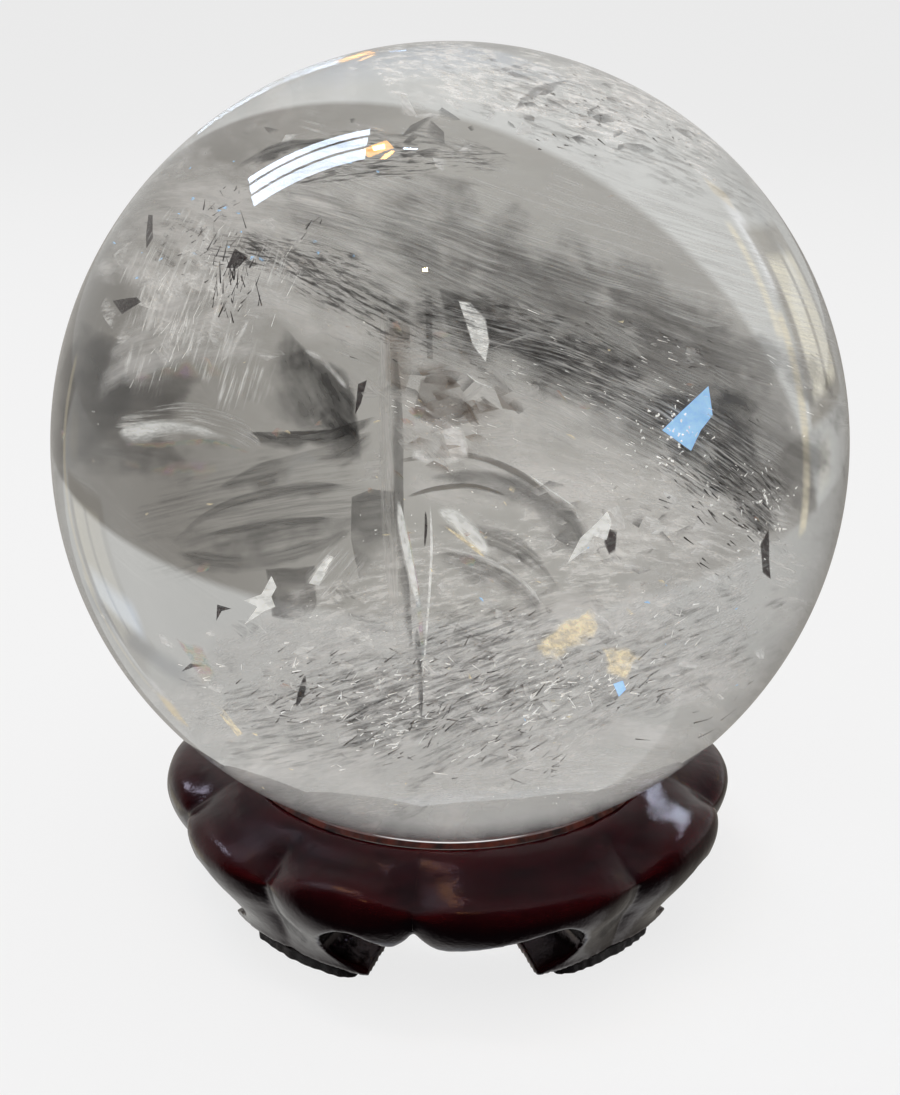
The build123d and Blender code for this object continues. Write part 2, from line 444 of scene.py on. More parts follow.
def feltPad(number, azimuth, material):
    bm = bmesh.new()
    bmesh.ops.create_grid(bm, x_segments=pad["grid"][0], y_segments=pad["grid"][1], size=1.0)
    middle = (pad["inner"] + pad["outer"]) / 2
    half = (pad["outer"] - pad["inner"]) / 2
    for vert in bm.verts:
        u, v = vert.co.x, vert.co.y
        pull = (abs(u) ** pad["corner"] + abs(v) ** pad["corner"]) ** (1 / pad["corner"])
        pull = max(abs(u), abs(v)) / pull if pull else 1.0
        edge = ease(max(abs(u), abs(v)), 0.8, 1.0)
        tear = pad["ragged"] * edge * noise.noise(Vector((u * 9, v * 4, number * 7.3)))
        radius = middle + (half + tear) * v * pull
        angle = azimuth + pad["shift"] + (pad["halfAngle"] + tear) * u * pull
        vert.co = polar(radius, angle, 0) * mm
    grown = bmesh.ops.extrude_face_region(bm, geom=bm.faces[:])["geom"]
    top = [g for g in grown if isinstance(g, bmesh.types.BMVert)]
    bmesh.ops.translate(bm, vec=(0, 0, soleZ * mm), verts=top)
    bmesh.ops.recalc_face_normals(bm, faces=bm.faces)
    keepSharp(bm, 50)
    piece = finishPiece(toObject(f"felt_pad_{number}", bm, material), "stand")
    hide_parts(f"foot_pad_{number}")


felt = woolFelt()
for number, azimuth in enumerate(stand["feet"], 1):
    feltPad(number, azimuth, felt)
beech = beechDowel()
for number in range(1, len(stand["feet"]) + 1):
    nodes[f"joint_dowel_{number}"].material_slots[0].material = beech
print("feet padded")


# seat liner: a thin leather band on the seat, its upper edge cut by hand

liner = {"inside": ballMm + 0.28, "outside": ballMm + 1.3, "lowRadius": 36.2, "highRadius": 41.7,
         "ragged": 0.55, "steps": 540}


def seatLiner(material):
    bm = bmesh.new()
    low, high = [math.asin(liner[k] / ballMm) for k in ("lowRadius", "highRadius")]
    rows = 7
    inner = [(low + (high - low) * k / (rows - 1), liner["inside"]) for k in range(rows)]
    outer = [(angle, liner["outside"]) for angle, _ in inner[::-1]]
    section = inner + outer
    verts = [bm.verts.new(Vector((0, -r * math.sin(a), ballZ - r * math.cos(a))) * mm)
             for a, r in section]
    edges = [bm.edges.new((a, b)) for a, b in zip(verts, verts[1:] + verts[:1])]
    bmesh.ops.spin(bm, geom=verts + edges, axis=(0, 0, 1), cent=(0, 0, 0), angle=2 * math.pi,
                   steps=liner["steps"], use_merge=True)
    bmesh.ops.remove_doubles(bm, verts=bm.verts, dist=1e-6)
    for vert in bm.verts:  # tears follow the ball's surface, so the band keeps its thickness
        arm = vert.co / mm - Vector((0, 0, ballZ))
        angle = math.atan2(math.hypot(arm.x, arm.y), -arm.z)
        azimuth = azimuthOf(arm)
        around = polar(1, azimuth, 0)
        coarse = noise.noise(around * 9)
        fine = noise.noise(around * 42 + Vector((5, 0, 0)))
        upper = ease(angle, low + 0.5 * (high - low), high)
        angle += upper * liner["ragged"] * (0.7 * coarse + 0.6 * fine) / ballMm
        radius = arm.length
        vert.co = (polar(radius * math.sin(angle), azimuth, 0)
                   + Vector((0, 0, ballZ - radius * math.cos(angle)))) * mm
    bmesh.ops.recalc_face_normals(bm, faces=bm.faces)
    keepSharp(bm, 50)
    piece = finishPiece(toObject("leather_liner", bm, material), "liner")
    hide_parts("seat_liner")


seatLiner(splitLeather())
print("liner cut")


# rock crystal: natural clear quartz, ground and polished.  The eye sees a faintly grey water-clear
# body with a sharp mirror-like surface.
def rockCrystal():
    material, tree, out = newMaterial("rock crystal ground polished")
    shader = addNode(tree, "BsdfPrincipled", {
        "Base Color": "#f3f4f4", "Roughness": 0.0, "IOR": 1.544, "Transmission Weight": 1.0})
    tree.links.new(shader.outputs[0], out.inputs[0])
    return material


def crystalBall(material):
    bm = bmesh.new()
    bmesh.ops.create_icosphere(bm, subdivisions=7, radius=ballRadius)
    bmesh.ops.translate(bm, vec=ballCentre, verts=bm.verts)
    ball = finishPiece(toObject("quartz_ball", bm, material), "ball")
    ball.visible_shadow = False  # clear quartz lets the lamps' light through to the stand
    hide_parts("crystal_ball")


crystalBall(rockCrystal())


# inclusions in the quartz.  Places are from the ball's centre in mm: x right, y back, z up.

# quartz flaw: a healed or open fracture, a growth wall or a haze of tiny liquid drops.  The eye sees
# a thin sheet of fine parallel streaks, pale or smoky, with broken edges, and rainbow bands where
# an open gap is thinnest.  long and wide are one streak's size in mm; even fills between streaks.
# The same sheets also carry painted light: glow is painted glow, and some looks are painted
# reflections, glints or shade.
def flawAndPaintedLightMaterial(name, look):
    material, tree, out = newMaterial("quartz flaw " + name)
    spot = addNode(tree, "UVMap").outputs[0]
    drawn = addNode(tree, "Mapping", {"Vector": spot, "Scale": (1 / look["long"], 1 / look["wide"], 1)})
    streak = addNode(tree, "TexNoise", {"Vector": drawn.outputs[0], "Scale": 1.0, "Detail": 5.0,
                                        "Roughness": 0.64, "Distortion": 0.2})
    blotch = addNode(tree, "TexNoise", {"Vector": spot, "Scale": look.get("blotch", 0.14), "Detail": 3.0})
    lines = addNode(tree, "MapRange", {
        "Value": streak.outputs["Fac"], "From Min": look.get("low", 0.4), "From Max": look.get("high", 0.6),
        "To Min": look.get("even", 0.0)}, clamp=True)
    tone = addNode(tree, "ValToRGB", {"Fac": streak.outputs["Fac"]},
                   stops=[(0.38, look["dark"]), (0.6, look["light"])])
    colour = tone.outputs[0]
    if "rainbow" in look:
        hues = addNode(tree, "ValToRGB", {"Fac": blotch.outputs["Fac"]}, stops=[
            (0.36, "#8fa9cf"), (0.64, "#c79ac0"), (0.44, "#9cc4ac"), (0.5, "#ddd3a0"), (0.57, "#dda890")])
        colour = addNode(tree, "Mix", {0: look["rainbow"], 6: colour, 7: hues.outputs[0]},
                         data_type="RGBA").outputs[2]
    fade = addNode(tree, "Attribute", attribute_name="fade")
    torn = addNode(tree, "MapRange", {"Value": blotch.outputs["Fac"], "From Min": 0.35, "From Max": 0.65,
                                      "To Min": -look.get("rag", 0.5), "To Max": look.get("rag", 0.5)})
    edge = addNode(tree, "Math", {0: fade.outputs["Fac"], 1: torn.outputs[0]}, operation="ADD")
    cover = addNode(tree, "MapRange", {"Value": edge.outputs[0], "From Min": 0.12, "From Max": 0.9},
                    interpolation_type="SMOOTHSTEP")
    # nothing shows at the very rim, however ragged the edge is
    bare = addNode(tree, "MapRange", {"Value": fade.outputs["Fac"], "From Max": 0.12}, clamp=True)
    mask = addNode(tree, "Math", {0: cover.outputs[0], 1: lines.outputs[0]}, operation="MULTIPLY")
    rim = addNode(tree, "Math", {0: mask.outputs[0], 1: bare.outputs[0]}, operation="MULTIPLY")
    alpha = addNode(tree, "Math", {0: rim.outputs[0], 1: look["strength"]}, operation="MULTIPLY")
    # painted glow: the emission makes each sheet give off light by its look's glow amount
    shader = addNode(tree, "BsdfPrincipled", {
        "Base Color": colour, "Roughness": 0.4, "Alpha": alpha.outputs[0],
        "Emission Color": colour, "Emission Strength": look.get("glow", 0.0)})
    tree.links.new(shader.outputs[0], out.inputs[0])
    return material


def flaw(light, dark, strength, long, wide, **more):
    return dict(light=light, dark=dark, strength=strength, long=long, wide=wide, **more)


# every glow amount below is painted glow, light a sheet gives off though quartz has none
flaws = {
    "haze white": flaw("#f4f3ef", "#dddbd6", 0.6, 14, 0.5, low=0.42, high=0.64, glow=0.3),
    "haze grey": flaw("#989591", "#6b6966", 0.42, 11, 0.6, low=0.44, high=0.66),
    "haze short": flaw("#f6f4f0", "#dcd9d4", 0.62, 3.0, 1.0, low=0.42, high=0.6, glow=0.38),
    "haze short grey": flaw("#8d8a85", "#605e5b", 0.5, 4.2, 0.7, low=0.46, high=0.62, blotch=0.2),
    "comb white": flaw("#f6f4f0", "#d9d7d2", 0.8, 6, 0.45, low=0.47, high=0.64, glow=0.3),
    "comb ink": flaw("#5b5755", "#383534", 0.8, 3.4, 0.5, low=0.5, high=0.6),
    # painted shade: the next two looks are dark grey sheets that stand for the dark room seen through the
    # ball and the shade between its streaks
    "smoke": flaw("#6b6867", "#3c3a3a", 0.82, 6, 1.0, low=0.32, high=0.6, even=0.4, rag=0.6),
    "smoke solid": flaw("#716f6d", "#504f4e", 0.66, 9, 1.6, even=0.65, rag=0.3),
    "lens": flaw("#9b9894", "#51504e", 0.62, 16, 0.6, even=0.4, rag=0.45),
    "olive": flaw("#a49a8a", "#82786a", 0.75, 14, 0.5, even=0.6, rag=0.1),
    "tan": flaw("#b9a592", "#95836f", 0.55, 6, 2.4, even=0.75, rag=0.1),
    "pale": flaw("#eeebe6", "#cbc8c2", 0.5, 8, 0.8, even=0.6, rag=0.15, glow=0.25),
    "clean": flaw("#f8f8f4", "#d9d9d5", 0.94, 1.6, 0.7, even=0.8, rag=0.15, glow=0.65),
    "glow soft": flaw("#fbfaf7", "#dedbd6", 0.8, 4.0, 1.2, even=0.6, rag=0.45, glow=0.45),
    "ink": flaw("#55494a", "#191314", 0.95, 0.9, 0.5, even=0.8, rag=0.3),
    # painted glint: a glowing warm patch that stands for lamp light caught in the ball
    "gold": flaw("#ffeec6", "#d2c2a2", 0.85, 1.2, 0.9, even=0.6, rag=0.35, glow=0.62, blotch=0.4),
    # painted reflection: a glowing pale blue patch that stands for sky and window seen through the ball
    "painted sky reflection": flaw("#b2dbff", "#9accfa", 0.95, 3.0, 3.0, even=0.95, rag=0.0, glow=0.7),
    "iris": flaw("#d8d3ce", "#b3aeaa", 0.55, 7, 0.6, even=0.6, rag=0.3, glow=0.3, rainbow=0.75, blotch=0.3),
    "fibre": flaw("#f8f7f3", "#e3e1dc", 0.6, 9, 0.5, low=0.5, high=0.64, rag=0.8, glow=0.5),
    "cloud light": flaw("#efece8", "#d3d0cb", 0.55, 16, 4, even=0.6, rag=0.4, glow=0.46),
    "cloud dark": flaw("#686462", "#474443", 0.66, 18, 3, even=0.6, rag=0.45),
}
flawMaterials = {name: flawAndPaintedLightMaterial(name, look) for name, look in flaws.items()}


skinMm = 0.8          # clear quartz left over every flaw
needleSkinMm = 4.0    # and over every needle


def insideBall(place):  # keeps a place under the polished surface
    limit = ballMm - skinMm
    return place * (limit / place.length) if place.length > limit else place


# one piece from rows of (place, mm along, mm across, fade), or from many such sheets with fans
def flawPiece(name, look, rows, fans=False):
    bm = bmesh.new()
    uvLayer = bm.loops.layers.uv.new("UVMap")
    fadeLayer = bm.verts.layers.float.new("fade")
    for sheet in rows if fans else [rows]:
        grid, flat = [], {}
        for row in sheet:
            grid.append([])
            for place, along, across, fade in row:
                vert = bm.verts.new(ballCentre + insideBall(place) * mm)
                vert[fadeLayer] = fade
                flat[vert] = (along, across)
                grid[-1].append(vert)
        for first, second in zip(grid, grid[1:]):
            for corners in zip(first, first[1:], second[1:], second):
                for loop in bm.faces.new(corners).loops:
                    loop[uvLayer].uv = flat[loop.vert]
    bmesh.ops.remove_doubles(bm, verts=bm.verts, dist=1e-7)
    finishPiece(toObject(name, bm, flawMaterials[look]), "ball")


# broad veils: middle, the vectors along and across, and how far the sheet bows
veils = {
    "veil_band_white": ("haze white", (6, -6, 15), (92, 6, -48), (9, -16, 32), 3),
    "veil_band_grey": ("haze grey", (6, 8, 15), (86, 4, -44), (4, -10, 34), -4),
    "veil_upper_grey": ("haze grey", (0, -14, 31), (74, 4, -26), (2, -9, 17), 2),
    "veil_upper_white": ("haze white", (8, -2, 29), (76, 4, -28), (3, -9, 17), -2),
    "veil_deep_white": ("haze white", (14, 22, 16), (84, 6, -34), (2, -8, 34), 3),
    "veil_comb_white": ("comb white", (31, -17, 4), (34, -2, -21), (7, -8, 19), 1),
    "veil_comb_band": ("comb white", (12, -19, 17), (44, 0, -15), (4, -8, 14), 2),
    "veil_comb_ink": ("comb ink", (36, -15, 1), (24, 0, -18), (7, -8, 15), 1),
    "veil_ink_left": ("comb ink", (-21, -16, 31), (30, 2, -9), (2, -3, 9), 1),
    "veil_ink_middle": ("comb ink", (8, -15, 21), (40, 2, -12), (2, -5, 12), 1),
    "veil_low_left": ("haze short", (-16, -20, -25), (56, 4, 16), (0, -14, 24), 3),
    "veil_low_left_grey": ("haze short grey", (-10, -10, -28), (60, 4, 18), (0, -12, 22), -2),
    "veil_low_right": ("haze short", (20, -8, -25), (56, 8, 24), (-6, -14, 26), -3),
    "veil_low_right_grey": ("haze short grey", (16, -2, -30), (62, 6, 24), (-4, -10, 18), 2),
    "veil_low_deep": ("haze short", (4, 16, -26), (74, 4, 10), (0, -10, 34), 3),
    "veil_middle": ("haze short", (24, 2, -10), (52, 2, -10), (0, -12, 24), 4),
    "veil_crown": ("haze short", (14, 12, 46), (72, 12, -28), (0, 18, 11), 4),
    "veil_crown_grey": ("haze short grey", (24, 4, 43), (64, 16, -32), (2, 14, 12), 3),
    "veil_feather_left": ("fibre", (-35, -15, 26), (8, -2, 30), (-30, 4, 8), 3),
    "cloud_left": ("cloud light", (-30, 4, 28), (58, 0, -14), (0, -6, 34), 2),
    "cloud_left_low": ("cloud light", (-36, -14, 20), (30, 0, 6), (0, -6, 18), 2),
    "cloud_middle": ("cloud light", (10, 4, -3), (50, 0, -14), (0, -6, 26), 2),
    "veil_hatch": ("comb white", (-15.6, -16, -12), (6, 0, 7.4), (5, 0, -4), 0),
    "cloud_low": ("cloud light", (2, 6, -34), (96, 0, 8), (0, -14, 40), 3),
    "cloud_dark_right": ("cloud dark", (22, 2, 11), (80, 0, -38), (9, -6, 31), 2),
    "cloud_dark_left": ("cloud dark", (-42, 6, 3), (30, 0, -2), (0, -6, 26), 2),
    "cloud_dark_low_left": ("haze grey", (-24, 4, -9), (40, 0, 8), (0, -6, 18), 2),
    "veil_ink_arc": ("comb ink", (-12, -8, 41), (44, 0, 3), (2, -3, 7), 1),
    "veil_ink_low": ("haze short grey", (-2, -24, -26), (48, 4, 16), (2, -8, 22), 1),
    "veil_floor": ("haze short", (6, -8, -42), (56, 2, 4), (0, -14, 9), 2),
}
veilGrid = (40, 20)
veilSoft = (0.34, 0.36)  # part of the length and the width over which a veil fades out
veilRipple = 0.7

for number, (name, (look, centre, along, across, bow)) in enumerate(veils.items()):
    along, across = Vector(along), Vector(across)
    normal = along.cross(across).normalized()
    rows = []
    for j in range(veilGrid[1] + 1):
        rows.append([])
        for i in range(veilGrid[0] + 1):
            u, v = i / veilGrid[0] - 0.5, j / veilGrid[1] - 0.5
            place = Vector(centre) + along * u + across * v
            place += normal * (bow * (4 * u * u - 0.5) + veilRipple * noise.noise(place * 0.11))
            fade = ease(0.5 - abs(u), 0, veilSoft[0]) * ease(0.5 - abs(v), 0, veilSoft[1])
            rows[-1].append((place, u * along.length + 40 * number, v * across.length, fade))
    flawPiece(name, look, rows)
print("veils grown")


# curved flaws: look, depth y, how soft the left and right edges are, then points x, z, half width
sweeps = {
    # the sheets below with the two dark smoke looks are painted shade
    "painted_shade_wedge": ("smoke solid", -5, 0.12, 0.9, [
        (-22, 18, 0.8), (-22, 13, 6.0), (-20, 8, 8.4), (-17, 3, 7.0), (-12, -2, 1.6)]),
    "painted_shade_wedge_core": ("smoke", -3, 0.2, 0.9, [
        (-20, 14, 1.4), (-18, 9, 4.4), (-15, 4, 4.4), (-11, -1, 0.8)]),
    "painted_shade_band": ("smoke", -13, 0.6, 0.5, [
        (-11, 25, 1.0), (0, 22, 4.4), (10, 18, 6.6), (20, 13.4, 6.8), (30, 9.6, 7.2), (39, 5, 7.0),
        (47, -5, 1)]),
    "painted_shade_band_core": ("smoke solid", -9, 0.8, 0.6, [
        (2, 20, 1.0), (9, 18, 4.4), (16, 14, 4.8), (23, 10, 1.0)]),
    "painted_shade_band_tail": ("smoke", -16, 0.5, 0.4, [
        (28, 6, 1.0), (34, 3, 3.6), (40, -2, 4.4), (44, -8, 1.6)]),
    "ink_upper_left": ("comb ink", -16, 0.5, 0.4, [
        (-31, 36, 1.0), (-25, 33, 4.0), (-16, 27, 4.6), (-7, 21.6, 3.4), (2, 17, 0.8)]),
    "smoke_upper_left": ("haze short grey", -14, 0.5, 0.4, [
        (-30, 36, 1.4), (-24, 32, 4.6), (-15, 27, 4.8), (-5, 22, 1.4)]),
    "arc_shade": ("smoke", -8, 0.3, 0.6, [
        (-31, 42.4, 0.5), (-25, 45, 2.2), (-17, 45.6, 1.8), (-12, 44.6, 0.4)]),
    "arc_shade_right": ("haze short grey", -8, 0.3, 0.5, [
        (-18, 47.4, 0.5), (-9, 46.4, 2.2), (0, 45, 2.6), (9, 42, 0.6)]),
    "arc_vein": ("comb ink", -10, 0.3, 0.5, [
        (-30, 43.6, 0.4), (-22, 46.2, 1.6), (-12, 45.8, 1.8), (-3, 44.4, 0.6)]),
    "painted_shade_rim_left": ("smoke solid", 4, 0.3, 0.9, [
        (-52, 18, 1.0), (-48, 12, 6.0), (-45, 5, 7.0), (-48, -4, 1.0)]),
    "lens_stripe_top": ("lens", -10, 0.1, 0.9, [
        (-36, -10, 0.3), (-31, -6.4, 1.2), (-25, -4.2, 1.7), (-18, -3, 1.8), (-11, -2.6, 0.4)]),
    "lens_stripe_middle": ("lens", -9, 0.2, 0.7, [
        (-34, -9.6, 0.2), (-28, -8.4, 0.8), (-21, -7.4, 0.9), (-14, -6.6, 0.2)]),
    "lens_stripe_low": ("lens", -9, 0.4, 0.5, [
        (-36, -11, 0.4), (-31, -12.4, 1.8), (-24, -12.4, 2.2), (-16, -10, 1.4), (-11, -7, 0.3)]),
    "lens_fill": ("smoke solid", -6, 0.9, 0.6, [
        (-38, -10, 0.8), (-30, -10, 3.6), (-22, -9.6, 4.0), (-14, -8, 2.6), (-9, -6, 0.6)]),
    "blade_shade": ("smoke solid", -8, 0.1, 0.9, [
        (-7.6, 20, 0.3), (-7.2, 8, 1.2), (-7, -6, 1.2), (-5.8, -18, 0.9), (-4.8, -26, 0.2)]),
    "arm_upper": ("lens", -8, 0.1, 0.9, [
        (-31, -4, 0.4), (-23, -1.4, 2.6), (-15, 0.8, 2.6), (-9, 4.6, 0.6)]),
    "arm_dark_top": ("smoke", -6, 0.1, 0.8, [
        (-28, 4, 0.3), (-22, 2.4, 1.8), (-15, 2.8, 1.8), (-9, 6, 0.3)]),
    "slip_white": ("glow soft", -10, 0.5, 0.5, [
        (-19, 16.4, 0.2), (-16.6, 15, 1.0), (-14.4, 12.6, 0.9), (-13, 10.6, 0.2)]),
    "streak_left": ("glow soft", -8, 0.5, 0.5, [
        (-29.6, 14, 0.1), (-28, 16.4, 0.7), (-26.6, 18.6, 0.6), (-26, 20, 0.1)]),
    "haze_left": ("pale", 2, 0.9, 0.9, [
        (-46, 14, 1.0), (-38, 16.6, 4.4), (-30, 17, 5.0), (-22, 15, 1.0)]),
    "haze_left_low": ("pale", 0, 0.9, 0.9, [
        (-48, 0, 1.0), (-40, -1, 3.6), (-32, -2, 4.0), (-24, -2, 1.0)]),
    "iris_left": ("iris", -9, 0.8, 0.8, [
        (-43, 12, 0.4), (-37, 13.6, 2.4), (-30, 13.4, 2.6), (-25, 12, 0.4)]),
    "iris_pink": ("iris", -10, 0.8, 0.8, [
        (-44, 1.4, 0.4), (-38, 0.4, 1.8), (-32, 0, 1.8), (-27, 0.6, 0.4)]),
    "wing_top": ("comb white", -12, 0.1, 0.8, [
        (-46, 6.4, 0.8), (-41, 6.6, 3.0), (-34, 7, 3.4), (-28, 5.4, 2.8), (-24, 2.4, 0.4)]),
    "wing_body": ("clean", -13, 0.4, 0.9, [
        (-45, 6, 0.8), (-42, 5.8, 2.4), (-36, 6.4, 2.2), (-28, 5.0, 0.6)]),
    "wing_rainbow": ("iris", -13, 0.3, 0.9, [
        (-44, 4.4, 0.3), (-38, 4.2, 0.8), (-31, 4.6, 0.8), (-25, 2.8, 0.2)]),
    "olive_arc": ("olive", -5, 0.1, 0.5, [
        (-8, -0.6, 0.3), (-3, 0.4, 0.5), (3, 0.2, 0.6), (9, -2.2, 0.7), (14.4, -6.6, 0.3)]),
    "olive_arc_low": ("olive", -8, 0.1, 0.5, [
        (-6, -4.2, 0.2), (-2, -3, 0.5), (3, -2.8, 0.5), (8, -4.4, 0.2)]),
    "fold_shade": ("smoke solid", -4, 0.3, 0.9, [
        (-4, -3, 0.6), (3, -3.6, 2.8), (9, -6, 4.0), (14, -10, 4.0), (16, -16, 0.6)]),
    "fold_dark": ("lens", -9, 0.2, 0.7, [
        (-3, -7.6, 0.4), (3, -9, 2.0), (9, -11.6, 2.6), (14, -17, 0.5)]),
    "fold_dark_low": ("lens", -9, 0.2, 0.8, [
        (-3, -11.6, 0.4), (2, -13, 2.4), (8, -16, 2.6), (12, -21, 0.4)]),
    # painted highlights: the next three sheets, pale and warm, glow where light catches the fold
    "painted_highlight_fold": ("glow soft", -10, 0.4, 0.6, [
        (-2, -10, 0.2), (4, -11.6, 0.6), (9, -14.6, 0.6), (12, -18, 0.2)]),
    "painted_highlight_pocket": ("clean", -12, 0.5, 0.4, [
        (-2, -4.4, 0.3), (0.6, -5.6, 1.9), (3, -8, 2.0), (5.4, -11, 0.3)]),
    "painted_glint_warm_pocket": ("gold", -12, 0.5, 0.5, [
        (-1, -6.6, 0.2), (1, -8, 0.5), (3.4, -10, 0.4), (4.6, -11, 0.1)]),
    "line_white": ("clean", -12, 0.3, 0.3, [
        (9.6, 0.6, 0.06), (12.6, -1.6, 0.22), (16.6, -4.6, 0.08)]),
    "line_cross": ("clean", -14, 0.3, 0.3, [
        (2, 14.6, 0.05), (3.6, 13.2, 0.16), (5.8, 12.2, 0.05)]),
    "line_hair": ("comb white", -14, 0.3, 0.3, [
        (5, 17.6, 0.08), (9, 19.2, 0.3), (13, 20.6, 0.06)]),
    "blade_tall": ("pale", -10, 0.15, 0.3, [
        (-8.7, 28, 0.4), (-8.5, 16, 0.9), (-8.3, 2, 1.1), (-7.6, -12, 1.0), (-6.4, -27, 0.2)]),
    "blade_white": ("clean", -18, 0.2, 0.5, [
        (-6.8, -1, 0.2), (-6.2, -6, 0.8), (-5, -12, 0.7), (-3.8, -17, 0.1)]),
    "blade_rainbow": ("iris", -17, 0.1, 0.4, [
        (-5.8, -4, 0.1), (-5, -11, 0.5), (-4, -17, 0.4), (-3.2, -27, 0.05)]),
    "blade_thin": ("clean", -14, 0.2, 0.2, [
        (-2.6, -2, 0.06), (-2.4, -10, 0.2), (-3, -20, 0.16), (-3.6, -27.6, 0.05)]),
    "blade_ink": ("ink", -15, 0.2, 0.2, [
        (-3.2, -3.6, 0.1), (-3.1, -6, 0.24), (-3.3, -9, 0.1)]),
    "blade_low": ("smoke", -10, 0.2, 0.5, [
        (-4.4, -20, 0.2), (-3.9, -26, 0.5), (-3.6, -34, 0.1)]),
    "crown_painted_shade": ("smoke solid", 6, 0.3, 0.8, [
        (8, 43, 0.4), (12, 47.4, 1.6), (17, 51, 0.5)]),
    "seam_top": ("haze grey", -10, 0.5, 0.8, [
        (-30, 41, 0.5), (-20, 42, 1.8), (-6, 41, 2.0), (10, 38, 0.5)]),
    "comb_low_left": ("comb ink", -18, 0.2, 0.5, [
        (-25.4, -31.4, 0.3), (-22.6, -29.8, 1.2), (-20, -28.4, 1.1), (-18, -27, 0.2)]),
    "comb_low_middle": ("comb ink", -18, 0.2, 0.5, [
        (-14, -32.2, 0.3), (-11.4, -30.4, 1.4), (-9, -29.2, 1.2), (-7, -28.4, 0.2)]),
    "fleck_low": ("ink", -18, 0.2, 0.3, [(-20.2, -30, 0.1), (-19.4, -28, 0.6), (-18.8, -25.2, 0.1)]),
}


sweepGrid = (8, 10)  # steps between two points, and across
sweepSoft = 0.22     # part of the length over which each end fades out
thinnestMm = 0.04


def flawSweep(name, look, depth, softLeft, softRight, points, seed):
    line = smoothLine(points, sweepGrid[0], False)
    width, rows, along = sweepGrid[1], [], 0.0
    for i, (x, z, half) in enumerate(line):
        back, ahead = line[max(i - 1, 0)], line[min(i + 1, len(line) - 1)]
        way = Vector((ahead[0] - back[0], ahead[1] - back[1])).normalized()
        along += math.hypot(x - back[0], z - back[1])
        part = i / (len(line) - 1)
        ends = ease(part, 0, sweepSoft) * ease(1 - part, 0, sweepSoft)
        rows.append([])
        for j in range(width + 1):
            v = j / width
            side = (2 * v - 1) * max(half, thinnestMm)
            place = Vector((x + way.y * side, 0, z - way.x * side))
            place.y = depth + 0.25 * side + 0.8 * noise.noise(place * 0.12)
            fade = ends * ease(v, 0, softLeft) * ease(1 - v, 0, softRight)
            rows[-1].append((place, along + 40 * seed, side, fade))
    flawPiece(name, look, rows)


for number, (name, sweep) in enumerate(sweeps.items()):
    flawSweep(name, *sweep, number)
print("sweeps grown")


